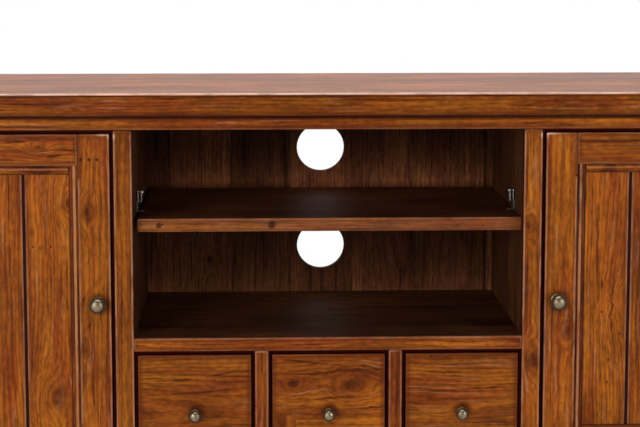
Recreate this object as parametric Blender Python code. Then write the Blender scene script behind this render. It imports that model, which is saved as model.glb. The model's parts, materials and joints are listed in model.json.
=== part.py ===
"""Rustic stained pine media console.

An open media bay with one shelf stands between two framed doors, over three drawers.
Units are metres, +Z is up, the front faces -Y, and the origin is on the floor
under the middle of the top.
"""

import math

import bmesh
import bpy
from mathutils import Vector

# Clearances
FIT = 0.0003
REVEAL = 0.0065
EASE = 0.0012

# Heights, from the floor up
BASE_HEIGHT = 0.105
DRAWER_OPENING_HEIGHT = 0.2055
LOWER_BAY_HEIGHT = 0.175
UPPER_BAY_HEIGHT = 0.151
TOP_RAIL_HEIGHT = 0.0255
SLAB_THICK = 0.037
SHELF_THICK = 0.022
DECK_THICK = 0.022
BOTTOM_THICK = 0.022

# Widths, from the middle out
DRAWER_OPENING_WIDTH = 0.201
DIVIDER_THICK = 0.022
POST_WIDTH = 0.030
SLAB_OVERHANG_SIDE = 0.028

# Depths, from the face plane
INNER_DEPTH = 0.395
FACE_THICK = 0.022
BACK_THICK = 0.012
SLAB_OVERHANG_FRONT = 0.027
SLAB_OVERHANG_BACK = 0.002
PLINTH_SETBACK = 0.008
PLINTH_THICK = 0.022

# Slab edges
SLAB_EASE = 0.002

# Centre shelf and its brackets
SHELF_SETBACK = 0.025
SHELF_SLACK_LEFT = 0.0065
SHELF_SLACK_RIGHT = 0.0005
BRACKET_SETBACK = 0.100
BRACKET_WIDTH = 0.016
BRACKET_HEIGHT = 0.037
BRACKET_FOOT = 0.020
BRACKET_THICK = 0.002

# Cable holes
HOLE_DIAMETER = 0.088
HOLE_SIDES = 32

# Shelves behind the doors
CABINET_SHELF_RISE = 0.265
CABINET_SHELF_THICK = 0.018
CABINET_SHELF_SETBACK = 0.045
HOUSING_DEPTH = 0.006

# Door frames and panels
STILE_WIDTH = 0.067
STICKING_WIDTH = 0.015
QUIRK_WIDTH = 0.003
QUIRK_DEPTH = 0.0025
BEAD_WIDTH = 0.006
BEAD_SETBACK = 0.0008
FILLET_DEPTH = 0.003
DOOR_BOARDS = 3
DOOR_BOARD_WIDTH = 0.0723
GROOVE_WIDTH = 0.005
GROOVE_DEPTH = 0.003
PANEL_SETBACK = 0.006
PANEL_THICK = 0.010
PANEL_TONGUE = 0.008

# Drawers
DRAWER_SIDE_THICK = 0.012
DRAWER_SIDE_DROP = 0.012
DRAWER_BACK_THICK = 0.012
DRAWER_BACK_SPACE = 0.030
DRAWER_BOTTOM_THICK = 0.006
DRAWER_BOTTOM_RISE = 0.008
DRAWER_GROOVE_DEPTH = 0.005

# Hinges
HINGE_HEIGHT = 0.060
HINGE_INSET = 0.060
LEAF_WIDTH = 0.018
LEAF_CLEAR = 0.0006
KNUCKLE_RADIUS = 0.0032
PIN_RADIUS = 0.0014
PIN_CLEAR = 0.0001
HINGE_SIDES = 16

# Knobs: head, base and neck diameters, reach from the face, and drop under a drawer front's middle
DOOR_KNOB_HEAD = 0.028
DOOR_KNOB_BASE = 0.022
DOOR_KNOB_NECK = 0.010
DOOR_KNOB_REACH = 0.026
DOOR_KNOB_INSET = 0.0215
DRAWER_KNOB_HEAD = 0.021
DRAWER_KNOB_BASE = 0.016
DRAWER_KNOB_NECK = 0.008
DRAWER_KNOB_REACH = 0.021
DRAWER_KNOB_DROP = 0.0045
KNOB_BASE_THICK = 0.0025
KNOB_SIDES = 24

# Places worked out from the sizes
BAY_HALF = (3 * DRAWER_OPENING_WIDTH + 2 * DIVIDER_THICK) / 2
POST_OUT = BAY_HALF + POST_WIDTH
DOOR_NEAR = POST_OUT + REVEAL
DOOR_WIDTH = 2 * STILE_WIDTH + DOOR_BOARDS * DOOR_BOARD_WIDTH + (DOOR_BOARDS - 1) * GROOVE_WIDTH
DOOR_FAR = DOOR_NEAR + DOOR_WIDTH
CARCASS_IN = DOOR_FAR + REVEAL
CARCASS_OUT = CARCASS_IN + POST_WIDTH
SLAB_HALF = CARCASS_OUT + SLAB_OVERHANG_SIDE

DECK_UNDER = BASE_HEIGHT + DRAWER_OPENING_HEIGHT
DECK_TOP = DECK_UNDER + DECK_THICK
SHELF_UNDER = DECK_TOP + LOWER_BAY_HEIGHT
SHELF_TOP = SHELF_UNDER + SHELF_THICK
RAIL_UNDER = SHELF_TOP + UPPER_BAY_HEIGHT
SLAB_UNDER = RAIL_UNDER + TOP_RAIL_HEIGHT
HEIGHT = SLAB_UNDER + SLAB_THICK
DOOR_LOW = BASE_HEIGHT + REVEAL
DOOR_HIGH = RAIL_UNDER - REVEAL
BOTTOM_UNDER = BASE_HEIGHT - BOTTOM_THICK

SLAB_DEPTH = SLAB_OVERHANG_FRONT + INNER_DEPTH + BACK_THICK + SLAB_OVERHANG_BACK
FACE_Y = SLAB_OVERHANG_FRONT - SLAB_DEPTH / 2
FACE_BACK = FACE_Y + FACE_THICK
INNER_BACK = FACE_Y + INNER_DEPTH
OUTER_BACK = INNER_BACK + BACK_THICK

HINGE_X = CARCASS_IN - REVEAL / 2
HINGE_Y = FACE_Y - KNUCKLE_RADIUS - FIT
LEAF_THICK = REVEAL / 2 - FIT - LEAF_CLEAR

# Colours of the finishes
PINE_FRONT = (0.240, 0.064, 0.012)
PINE_DARK = (0.045, 0.014, 0.005)
PINE_RAW = (0.420, 0.230, 0.095)
AGED_BRASS = (0.300, 0.230, 0.140)
PLATED_STEEL = (0.620, 0.620, 0.600)

for old in list(bpy.data.objects):
    bpy.data.objects.remove(old, do_unlink=True)


def finish(name, colour, roughness, metallic):
    """A plain Principled material for one piece."""
    material = bpy.data.materials.new(name + "_finish")
    material.use_nodes = True
    shader = material.node_tree.nodes["Principled BSDF"]
    shader.inputs["Base Color"].default_value = (*colour, 1.0)
    shader.inputs["Roughness"].default_value = roughness
    shader.inputs["Metallic"].default_value = metallic
    return material


def link(name, bm, carrier):
    """Make an object of bm, which is in world places, carried by an empty or by itself."""
    bmesh.ops.recalc_face_normals(bm, faces=bm.faces)
    low = Vector([min(v.co[axis] for v in bm.verts) for axis in range(3)])
    high = Vector([max(v.co[axis] for v in bm.verts) for axis in range(3)])
    pivot = carrier.location.copy() if carrier else (low + high) / 2
    bmesh.ops.translate(bm, vec=-pivot, verts=bm.verts)
    mesh = bpy.data.meshes.new(name)
    bm.to_mesh(mesh)
    bm.free()
    piece = bpy.data.objects.new(name, mesh)
    bpy.context.scene.collection.objects.link(piece)
    if carrier:
        piece.parent = carrier
    else:
        piece.location = pivot
    return piece


def wooden(name, bm, carrier=None, colour=PINE_FRONT):
    piece = link(name, bm, carrier)
    piece.data.materials.append(finish(name, colour, 0.35, 0.0))
    return piece


def metal(name, bm, carrier=None, colour=AGED_BRASS):
    piece = link(name, bm, carrier)
    piece.data.materials.append(finish(name, colour, 0.30, 1.0))
    return piece


def combine(piece, bm, operation, carrier=None):
    """Cut bm out of a piece, or join it to the piece, with a hidden helper object."""
    helper = link(piece.name + "_" + operation.lower(), bm, carrier)
    helper.display_type = "WIRE"
    helper.hide_render = True
    modifier = piece.modifiers.new(operation.title(), "BOOLEAN")
    modifier.operation = operation
    modifier.solver = "EXACT"
    modifier.object = helper


def box(x, y, z, ease=0.0, segments=1):
    """A box between pairs of limits, with its edges eased."""
    limits = [sorted(pair) for pair in (x, y, z)]
    bm = bmesh.new()
    bmesh.ops.create_cube(bm, size=1.0)
    for vert in bm.verts:
        vert.co = [low + (at + 0.5) * (high - low) for at, (low, high) in zip(vert.co, limits)]
    if ease:
        bmesh.ops.bevel(bm, geom=bm.edges[:], offset=ease, segments=segments, profile=0.5,
                        affect="EDGES", material=-1)
    return bm


def merge(*solids):
    """One mesh that holds several separate solids."""
    whole = bmesh.new()
    for solid in solids:
        part = bpy.data.meshes.new("part")
        solid.to_mesh(part)
        solid.free()
        whole.from_mesh(part)
        bpy.data.meshes.remove(part)
    return whole


def prism(outline, axis, start, end):
    """An outline in the two axes that follow the given one, extruded along it."""
    along = "XYZ".index(axis)
    bm = bmesh.new()
    corners = []
    for first, second in outline:
        place = Vector()
        place[(along + 1) % 3] = first
        place[(along + 2) % 3] = second
        place[along] = start
        corners.append(bm.verts.new(place))
    cap = bm.faces.new(corners)
    grown = bmesh.ops.extrude_face_region(bm, geom=[cap])
    step = Vector()
    step[along] = end - start
    moved = [item for item in grown["geom"] if isinstance(item, bmesh.types.BMVert)]
    bmesh.ops.translate(bm, vec=step, verts=moved)
    return bm


def turned(profile, base, axis, sides):
    """A profile of (radius, distance along the axis) spun into a solid about the axis."""
    axis = Vector(axis)
    side = axis.orthogonal().normalized()
    bm = bmesh.new()
    points = [bm.verts.new(base + side * radius + axis * along) for radius, along in profile]
    edges = [bm.edges.new(pair) for pair in zip(points, points[1:])]
    bmesh.ops.spin(bm, geom=points + edges, cent=base, axis=axis, dvec=(0, 0, 0),
                   angle=2 * math.pi, steps=sides, use_merge=True, use_duplicate=False)
    bmesh.ops.remove_doubles(bm, verts=bm.verts, dist=1e-6)
    return bm


def carrier_at(name, place):
    empty = bpy.data.objects.new(name, None)
    empty.location = place
    bpy.context.scene.collection.objects.link(empty)
    return empty


def between(side, near, far):
    """Two limits measured outwards from the middle, on the left (-1) or the right (1)."""
    return sorted((side * near, side * far))


# Carcass

def make_slab():
    wooden("top_slab", box(
        (-SLAB_HALF, SLAB_HALF),
        (FACE_Y - SLAB_OVERHANG_FRONT, OUTER_BACK + SLAB_OVERHANG_BACK),
        (SLAB_UNDER, HEIGHT), SLAB_EASE, 2))


def make_top_rail():
    wooden("top_rail", box(
        (-CARCASS_OUT, CARCASS_OUT), (FACE_Y, FACE_BACK), (RAIL_UNDER, SLAB_UNDER - FIT), EASE))


def cabinet_shelf_limits(side):
    """The limits of the shelf behind one door, with its ends in their housings."""
    low = BASE_HEIGHT + CABINET_SHELF_RISE
    return (between(side, POST_OUT - HOUSING_DEPTH, CARCASS_IN + HOUSING_DEPTH),
            (FACE_Y + CABINET_SHELF_SETBACK, INNER_BACK - FIT),
            (low, low + CABINET_SHELF_THICK))


def housing(side):
    """What the cabinet shelf needs cut out of the boards beside it."""
    return box(*[(low - FIT, high + FIT) for low, high in cabinet_shelf_limits(side)])


def make_uprights(side, word):
    outer = between(side, CARCASS_IN, CARCASS_OUT)
    inner = between(side, BAY_HALF, POST_OUT)
    wooden("post_outer_" + word, box(outer, (FACE_Y, FACE_BACK), (0, RAIL_UNDER - FIT), EASE))
    wooden("post_inner_" + word, box(
        inner, (FACE_Y, FACE_BACK), (BASE_HEIGHT + FIT, RAIL_UNDER - FIT), EASE))
    side_board = wooden("side_" + word, box(
        outer, (FACE_BACK + FIT, OUTER_BACK), (0, SLAB_UNDER - FIT), EASE))
    combine(side_board, housing(side), "DIFFERENCE")
    partition = wooden("partition_" + word, box(
        inner, (FACE_BACK + FIT, INNER_BACK - FIT), (BASE_HEIGHT + FIT, SLAB_UNDER - FIT)), None,
        PINE_DARK)
    combine(partition, housing(side), "DIFFERENCE")


def make_base():
    inside = (-CARCASS_IN + FIT, CARCASS_IN - FIT)
    wooden("bottom_board", box(inside, (FACE_Y, INNER_BACK - FIT), (BOTTOM_UNDER, BASE_HEIGHT), EASE))
    front = FACE_Y + PLINTH_SETBACK
    wooden("plinth_front", box(
        inside, (front, front + PLINTH_THICK), (0, BOTTOM_UNDER - FIT), EASE))
    wooden("plinth_back", box(
        inside, (INNER_BACK - PLINTH_THICK, INNER_BACK), (0, BOTTOM_UNDER - FIT), EASE), None, PINE_DARK)


def make_back():
    panel = wooden("back_panel", box(
        (-CARCASS_IN + FIT, CARCASS_IN - FIT), (INNER_BACK, OUTER_BACK),
        (BOTTOM_UNDER, SLAB_UNDER - FIT)), None, PINE_DARK)
    outline = [(0, 0), (HOLE_DIAMETER / 2, 0), (HOLE_DIAMETER / 2, 3 * BACK_THICK), (0, 3 * BACK_THICK)]
    centres = (DECK_TOP + LOWER_BAY_HEIGHT / 2, SHELF_TOP + UPPER_BAY_HEIGHT / 2)
    bores = [turned(outline, Vector((0, INNER_BACK - BACK_THICK, height)), (0, 1, 0), HOLE_SIDES)
             for height in centres]
    combine(panel, merge(*bores), "DIFFERENCE")


def make_bay():
    inside = (-BAY_HALF + FIT, BAY_HALF - FIT)
    wooden("deck_board", box(inside, (FACE_Y, INNER_BACK - FIT), (DECK_UNDER, DECK_TOP), EASE))
    wooden("centre_shelf", box(
        (-BAY_HALF + SHELF_SLACK_LEFT, BAY_HALF - SHELF_SLACK_RIGHT),
        (FACE_Y + SHELF_SETBACK, INNER_BACK - FIT), (SHELF_UNDER, SHELF_TOP), EASE))
    for side, word in ((-1, "left"), (1, "right")):
        middle = side * (DRAWER_OPENING_WIDTH + DIVIDER_THICK) / 2
        wooden("drawer_divider_" + word, box(
            (middle - DIVIDER_THICK / 2, middle + DIVIDER_THICK / 2), (FACE_Y, INNER_BACK - FIT),
            (BASE_HEIGHT + FIT, DECK_UNDER - FIT), EASE))


def make_shelf_bracket(side, word):
    """A plated angle bracket that holds the shelf to the partition."""
    wall = BAY_HALF - FIT
    foot = SHELF_TOP + FIT
    angle = [(foot, wall), (foot + BRACKET_HEIGHT, wall), (foot + BRACKET_HEIGHT, wall - BRACKET_THICK),
             (foot + BRACKET_THICK, wall - BRACKET_THICK), (foot + BRACKET_THICK, wall - BRACKET_FOOT),
             (foot, wall - BRACKET_FOOT)]
    outline = [(height, side * out) for height, out in angle]
    front = FACE_Y + BRACKET_SETBACK
    metal("shelf_bracket_" + word, prism(outline, "Y", front, front + BRACKET_WIDTH), None, PLATED_STEEL)


def make_cabinet_shelf(side, word):
    wooden("cabinet_shelf_" + word, box(*cabinet_shelf_limits(side), EASE), None, PINE_DARK)


# Doors

def frame_outline(width):
    """A frame member's section: (distance from its outer edge, depth from the face)."""
    flat = width - STICKING_WIDTH
    bead = flat + QUIRK_WIDTH
    slot = width - PANEL_TONGUE - FIT
    crown = [(bead + BEAD_WIDTH / 2 * (1 - math.cos(turn)),
              QUIRK_DEPTH - (QUIRK_DEPTH - BEAD_SETBACK) * math.sin(turn))
             for turn in (math.radians(30 * step) for step in range(7))]
    return ([(0, EASE), (EASE, 0), (flat - EASE, 0), (flat, EASE), (flat, QUIRK_DEPTH)]
            + crown
            + [(bead + BEAD_WIDTH, FILLET_DEPTH), (width, FILLET_DEPTH),
               (width, PANEL_SETBACK - FIT), (slot, PANEL_SETBACK - FIT),
               (slot, PANEL_SETBACK + PANEL_THICK + FIT),
               (width, PANEL_SETBACK + PANEL_THICK + FIT),
               (width, FACE_THICK), (0, FACE_THICK)])


def make_stile(name, edge, inward, carrier):
    """A full height stile; its sticking stops where the rails butt against it."""
    outline = [(edge + inward * out, FACE_Y + depth) for out, depth in frame_outline(STILE_WIDTH)]
    stile = wooden(name, prism(outline, "Z", DOOR_LOW, DOOR_HIGH), carrier)
    flat = STILE_WIDTH - STICKING_WIDTH
    notch_x = (edge + inward * flat, edge + inward * (STILE_WIDTH + FACE_THICK))
    notch_y = (FACE_Y - FACE_THICK, FACE_BACK + FACE_THICK)
    notches = [box(notch_x, notch_y, pair) for pair in (
        (DOOR_LOW - FACE_THICK, DOOR_LOW + flat + FIT), (DOOR_HIGH - flat - FIT, DOOR_HIGH + FACE_THICK))]
    combine(stile, merge(*notches), "DIFFERENCE", carrier)


def make_rail(name, edge, inward, limits, carrier):
    """A rail between the stiles; its sticking stops short against theirs."""
    outline = [(FACE_Y + depth, edge + inward * out) for out, depth in frame_outline(STILE_WIDTH)]
    flat = STILE_WIDTH - STICKING_WIDTH
    low, high = limits[0] + flat + FIT, limits[1] - flat - FIT
    rail = wooden(name, prism(outline, "X", low, high), carrier)
    notch_z = (edge + inward * flat, edge + inward * (STILE_WIDTH + FACE_THICK))
    notch_y = (FACE_Y - FACE_THICK, FACE_BACK + FACE_THICK)
    notches = [box(pair, notch_y, notch_z) for pair in (
        (low - FACE_THICK, low + STICKING_WIDTH), (high - STICKING_WIDTH, high + FACE_THICK))]
    combine(rail, merge(*notches), "DIFFERENCE", carrier)


def make_panel(name, limits, carrier):
    """Three boards in one panel, with grooves between them, held in the frame's slots."""
    front = FACE_Y + PANEL_SETBACK
    sight = limits[0] + STILE_WIDTH
    outline = [(sight - PANEL_TONGUE, front)]
    for board in range(1, DOOR_BOARDS):
        start = sight + board * DOOR_BOARD_WIDTH + (board - 1) * GROOVE_WIDTH
        outline += [(start, front), (start, front + GROOVE_DEPTH),
                    (start + GROOVE_WIDTH, front + GROOVE_DEPTH), (start + GROOVE_WIDTH, front)]
    far = limits[1] - STILE_WIDTH + PANEL_TONGUE
    outline += [(far, front), (far, front + PANEL_THICK), (sight - PANEL_TONGUE, front + PANEL_THICK)]
    low = DOOR_LOW + STILE_WIDTH - PANEL_TONGUE
    high = DOOR_HIGH - STILE_WIDTH + PANEL_TONGUE
    wooden(name, prism(outline, "Z", low, high), carrier)


def knob_profile(head, base, neck, reach):
    """A turned knob: (radius, distance from the face), from its base to its crown."""
    crown = 0.32 * head
    middle = reach - crown
    arc = [(head / 2 * math.cos(math.radians(turn)), middle + crown * math.sin(math.radians(turn)))
           for turn in (-50, -25, 0, 20, 40, 60, 76)]
    return ([(0, FIT), (base / 2, FIT), (base / 2, FIT + KNOB_BASE_THICK / 2),
             (base / 2 - KNOB_BASE_THICK, FIT + KNOB_BASE_THICK), (neck / 2, FIT + 2 * KNOB_BASE_THICK)]
            + arc + [(0, reach)])


def leaf_outline(low, high, tabs):
    """A hinge leaf's plate, with tabs that reach from it to the pin's axis."""
    front = HINGE_Y + KNUCKLE_RADIUS + 2 * FIT
    back = FACE_Y + LEAF_WIDTH
    outline = [(back, low), (back, high)]
    for top, under in tabs:
        outline += [(front, top), (HINGE_Y, top), (HINGE_Y, under), (front, under)]
    outline = [place for place in outline if place not in ((front, low), (front, high))]
    if tabs[0][0] < high:
        outline.insert(2, (front, high))
    if tabs[-1][1] > low:
        outline.append((front, low))
    return outline


def make_hinge(side, word, level, middle, carrier):
    """A butt hinge: the frame leaf holds the pin, the door leaf turns on it."""
    low, high = middle - HINGE_HEIGHT / 2, middle + HINGE_HEIGHT / 2
    third = HINGE_HEIGHT / 3
    frame_low, frame_high = low + third - FIT / 2, high - third + FIT / 2
    door_low, door_high = low + third + FIT / 2, high - third - FIT / 2
    axis = side * HINGE_X
    foot = Vector((axis, HINGE_Y, 0))
    frame_x = between(side, HINGE_X + LEAF_CLEAR, HINGE_X + LEAF_CLEAR + LEAF_THICK)
    door_x = between(side, HINGE_X - LEAF_CLEAR - LEAF_THICK, HINGE_X - LEAF_CLEAR)
    place = word + "_" + level

    leaf = metal("hinge_frame_leaf_" + place, prism(
        leaf_outline(low, high, [(high, frame_high), (frame_low, low)]), "X", *frame_x))
    barrel = [(0, low), (KNUCKLE_RADIUS, low), (KNUCKLE_RADIUS, frame_low), (PIN_RADIUS, frame_low),
              (PIN_RADIUS, frame_high), (KNUCKLE_RADIUS, frame_high), (KNUCKLE_RADIUS, high), (0, high)]
    combine(leaf, turned(barrel, foot, (0, 0, 1), HINGE_SIDES), "UNION")

    leaf = metal("hinge_door_leaf_" + place, prism(
        leaf_outline(low, high, [(door_high, door_low)]), "X", *door_x), carrier)
    barrel = [(0, door_low), (KNUCKLE_RADIUS, door_low), (KNUCKLE_RADIUS, door_high), (0, door_high)]
    combine(leaf, turned(barrel, foot, (0, 0, 1), HINGE_SIDES), "UNION", carrier)
    bore = [(0, low), (PIN_RADIUS + PIN_CLEAR, low), (PIN_RADIUS + PIN_CLEAR, high), (0, high)]
    combine(leaf, turned(bore, foot, (0, 0, 1), HINGE_SIDES), "DIFFERENCE", carrier)


def make_door(side, word):
    carrier = carrier_at("door_" + word + "_axis", (side * HINGE_X, HINGE_Y, 0))
    limits = between(side, DOOR_NEAR, DOOR_FAR)
    name = "door_" + word + "_"
    make_stile(name + "hinge_stile", side * DOOR_FAR, -side, carrier)
    make_stile(name + "lock_stile", side * DOOR_NEAR, side, carrier)
    make_rail(name + "top_rail", DOOR_HIGH, -1, limits, carrier)
    make_rail(name + "bottom_rail", DOOR_LOW, 1, limits, carrier)
    make_panel(name + "panel", limits, carrier)
    profile = knob_profile(DOOR_KNOB_HEAD, DOOR_KNOB_BASE, DOOR_KNOB_NECK, DOOR_KNOB_REACH)
    seat = Vector((side * (DOOR_NEAR + DOOR_KNOB_INSET), FACE_Y, (DOOR_LOW + DOOR_HIGH) / 2))
    metal(name + "knob", turned(profile, seat, (0, -1, 0), KNOB_SIDES), carrier)
    inset = HINGE_INSET + HINGE_HEIGHT / 2
    make_hinge(side, word, "upper", DOOR_HIGH - inset, carrier)
    make_hinge(side, word, "lower", DOOR_LOW + inset, carrier)


# Drawers

def make_drawer(step, word):
    middle = step * (DRAWER_OPENING_WIDTH + DIVIDER_THICK)
    carrier = carrier_at("drawer_" + word + "_axis", (middle, FACE_Y, BASE_HEIGHT))
    name = "drawer_" + word + "_"
    half = DRAWER_OPENING_WIDTH / 2 - REVEAL
    inner = half - DRAWER_SIDE_THICK
    low, high = BASE_HEIGHT + FIT, DECK_UNDER - REVEAL - DRAWER_SIDE_DROP
    front, rear = FACE_BACK + FIT, INNER_BACK - DRAWER_BACK_SPACE
    floor = low + DRAWER_BOTTOM_RISE
    reach = inner + DRAWER_GROOVE_DEPTH
    bottom_limits = ((middle - reach, middle + reach), (FACE_BACK - DRAWER_GROOVE_DEPTH, rear),
                     (floor, floor + DRAWER_BOTTOM_THICK))

    def groove():
        return box(*[(near - FIT, far + FIT) for near, far in bottom_limits])

    face = wooden(name + "front", box(
        (middle - half, middle + half), (FACE_Y, FACE_BACK),
        (BASE_HEIGHT + REVEAL, DECK_UNDER - REVEAL), EASE), carrier)
    combine(face, groove(), "DIFFERENCE", carrier)
    for side, hand in ((-1, "left"), (1, "right")):
        span = sorted((middle + side * inner, middle + side * half))
        board = wooden(name + hand + "_side", box(span, (front, rear), (low, high)), carrier, PINE_RAW)
        combine(board, groove(), "DIFFERENCE", carrier)
    wooden(name + "back", box(
        (middle - inner + FIT, middle + inner - FIT), (rear - DRAWER_BACK_THICK, rear),
        (floor + DRAWER_BOTTOM_THICK + FIT, high)), carrier, PINE_RAW)
    wooden(name + "bottom", box(*bottom_limits), carrier, PINE_RAW)
    profile = knob_profile(DRAWER_KNOB_HEAD, DRAWER_KNOB_BASE, DRAWER_KNOB_NECK, DRAWER_KNOB_REACH)
    seat = Vector((middle, FACE_Y, (BASE_HEIGHT + DECK_UNDER) / 2 - DRAWER_KNOB_DROP))
    metal(name + "knob", turned(profile, seat, (0, -1, 0), KNOB_SIDES), carrier)


make_slab()
make_top_rail()
make_base()
make_back()
make_bay()
for hand_side, hand_word in ((-1, "left"), (1, "right")):
    make_uprights(hand_side, hand_word)
    make_shelf_bracket(hand_side, hand_word)
    make_cabinet_shelf(hand_side, hand_word)
    make_door(hand_side, hand_word)
for drawer_step, drawer_word in ((-1, "left"), (0, "centre"), (1, "right")):
    make_drawer(drawer_step, drawer_word)
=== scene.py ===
import json
import math
import random

import bmesh
import bpy
from mathutils import Matrix, Vector, noise


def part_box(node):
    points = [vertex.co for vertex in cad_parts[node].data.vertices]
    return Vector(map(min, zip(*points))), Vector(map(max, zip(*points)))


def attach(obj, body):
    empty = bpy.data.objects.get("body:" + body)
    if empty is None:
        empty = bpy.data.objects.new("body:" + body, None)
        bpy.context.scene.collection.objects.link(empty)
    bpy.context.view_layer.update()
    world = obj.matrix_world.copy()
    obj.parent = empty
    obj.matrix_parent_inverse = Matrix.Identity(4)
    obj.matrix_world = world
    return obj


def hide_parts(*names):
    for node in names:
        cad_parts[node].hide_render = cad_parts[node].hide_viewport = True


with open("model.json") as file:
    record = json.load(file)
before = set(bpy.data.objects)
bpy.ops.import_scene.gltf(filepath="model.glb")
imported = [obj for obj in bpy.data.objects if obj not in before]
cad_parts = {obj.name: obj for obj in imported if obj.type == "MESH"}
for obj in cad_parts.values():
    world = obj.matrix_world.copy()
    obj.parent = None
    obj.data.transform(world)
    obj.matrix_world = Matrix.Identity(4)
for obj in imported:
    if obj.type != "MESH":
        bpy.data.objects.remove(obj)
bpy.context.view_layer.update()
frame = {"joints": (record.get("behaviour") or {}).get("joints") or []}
scene = bpy.context.scene
X, Y, Z = 0, 1, 2
SIDES = (("left", -1), ("right", 1))

# Levels of the bay, and the back's corners
DECK_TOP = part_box("deck_board")[1].z
SHELF_UNDER, SHELF_TOP = (corner.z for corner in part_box("centre_shelf"))
RAIL_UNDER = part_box("top_rail")[0].z
BACK_LOW, BACK_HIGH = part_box("back_panel")

# Sizes that the solids have too
STICKING = 0.015
TONGUE = 0.008
PANEL_SETBACK = 0.006
PANEL_THICK = 0.010
PANEL_BOARDS = 3
DOOR_THICK = 0.022
GROOVE = 0.005
GROOVE_DEPTH = 0.003
FIT = 0.0003
HOLE_RADIUS = 0.044
LEAF_CLEAR = 0.0006
LEAF_THICK = 0.00235

# Sizes of what only shows
BACK_BOARDS = 13
BACK_WIDTH = (BACK_HIGH.x - BACK_LOW.x) / BACK_BOARDS
HOLE_SURROUND = 0.012
BATTEN = 0.0106
BATTEN_THICK = 0.006
# a thin dark strip beside the batten: its painted shadow
BATTEN_SHADOW = 0.0062
BATTEN_SHADOW_THICK = 0.001
REVEAL = 0.0065
LINER_CLEAR = 0.0015
LINER_SETBACK = 0.005
LIPPING = 0.005
LIPPING_SEAM = 0.0001
HOUSING = 0.0062
TONGUE_LAP = 0.0008
TONGUE_SETBACK = 0.001
NAIL_RADIUS = 0.0024
NAIL_INSET = 0.012
NAIL_SHARES = (0.25, 0.75)
SCREW_RADIUS = 0.0030
SCREW_PITCH = 0.021
SCREW_STAGGER = 0.001
CATCH_DROP = 0.0060
CATCH_SCREW_RADIUS = 0.0026
CATCH_SCREW_INSET = 0.010
CATCH_SCREW_SHARE = 0.6
PATCH_LEFT = 0.0063
PATCH_RIGHT = 0.0395
PATCH_UNDER = 0.0465
PATCH_OVER = 0.0930
PATCH_PROUD = 0.0002
PATCH_DEPTH = 0.004
SLAB_PLANKS = (0.118, 0.109, 0.121, 0.106)
SIDE_PLANKS = (1.0, 1.15, 0.9)
BEAD_STEP = 0.04
LONG_SHARE = 0.6
TOUCH = 1e-5
MERGE = 1e-6

# Eased edges: their reach in widths of easing, and how that width drifts and is nicked along a metre
EDGE_REACH = 1.4
DRIFT_PITCH = 21
DRIFT_SWING = 1.1
MOST_NARROWED = 0.4
NICK_PITCH = 63
NICK_SWING = 1.6
NICK_START = 0.55

# Wear on edges, which also paints the highlights on the arrises: 1 is worn pale, and more than 1 goes to
# bare wood
SLAB_FRONT_WEAR_AND_HIGHLIGHT = 1.75
SLAB_WEAR = 0.8
CHIP_WEAR = 1.8
POST_WEAR = 1.0
CORNER_WEAR = 1.7
STILE_WEAR = 0.85
RAIL_WEAR = 0.35
JOINT_WEAR = 0.1
LIPPING_TOP_WEAR = 0.5
LIPPING_WEAR = 0.2
# how much of the bead's painted highlight the rails keep
RAIL_BEAD_HIGHLIGHT_SHARE = 0.45

# How far each kind of wear reaches
SLAB_FRONT_REACH = 0.01
POST_JOINT_REACH = 0.004
CHIP_REACH = 0.016
CORNER_REACH = 0.010
STILE_JOINT_REACH = 0.02

# Tone of the slab's front face, and how deep it goes
SLAB_FACE_TONE = 0.84
SLAB_FACE_DEPTH = 0.001

# Tones of the back, with shares of them for single boards over and under the shelf, and its painted light:
# painted shade under the rail and the shelf, a painted shadow along the upper bay's foot, and painted light
# low down and to the right
BACK_LIFT = 1.25
BAY_REACH = 0.45
BAY_WIDTH = 0.6
EVEN_SHARES = (1.0, 1.0)
BOARD_SHARES = {3: (0.75, 2.0), 4: (1.75, 1.6), 5: (0.58, 0.78), 8: (1.12, 1.15)}
# the batten's shares: its face is painted lighter in the lower bay, as if lit
BATTEN_LIGHT_SHARES = (0.8, 4.2)
SHADOW_SHARE = 0.8
PAINTED_SHADE_TONE = 0.53
UPPER_PAINTED_LIGHT = (1.2, 1.0)
LOWER_PAINTED_LIGHT = (0.6, 0.4)
PAINTED_SHADE_UNDER_RAIL = 0.04
PAINTED_SHADE_UNDER_SHELF = 0.06
FOOT_SHADOW = 0.018
FOOT_SHADOW_TONE = 0.3

# What chance gives each board
GRAIN_SHIFTS = (3, 40)
HEARTS_ASIDE = (0.02, 0.11)
HEART_DEPTHS = (0.02, 0.07)
BOARD_TONES = (0.90, 1.10)
KNOT_SIZES = (0.004, 0.009)
ONE_KNOT = 0.5
TWO_KNOTS = 0.2

# Figure of the pine: a ring's width, the level of late wood across a ring, and bare wood's colour, which is
# also the painted highlight on the slab's front arris
RING_WIDTH = 0.0062
LATE_WOOD = ((0.0, 0.10), (0.40, 0.08), (0.80, 0.95), (0.92, 1.0), (1.0, 0.10))
BARE_PINE_AND_HIGHLIGHT = (0.74, 0.49, 0.40, 1.0)

# Marks that the finishes read, and places too far off to show
MARK_WORDS = {"knots": ("knot_a", "knot_b"), "dots": ("dot_a", "dot_b", "dot_c"),
              "splits": ("split_a", "split_b", "split_c"), "knob_shadows": ("smudge",)}
FAR_MARK = Vector((-90, -90, 0.01))
FAR = Vector((1, 1, 1))
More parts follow.
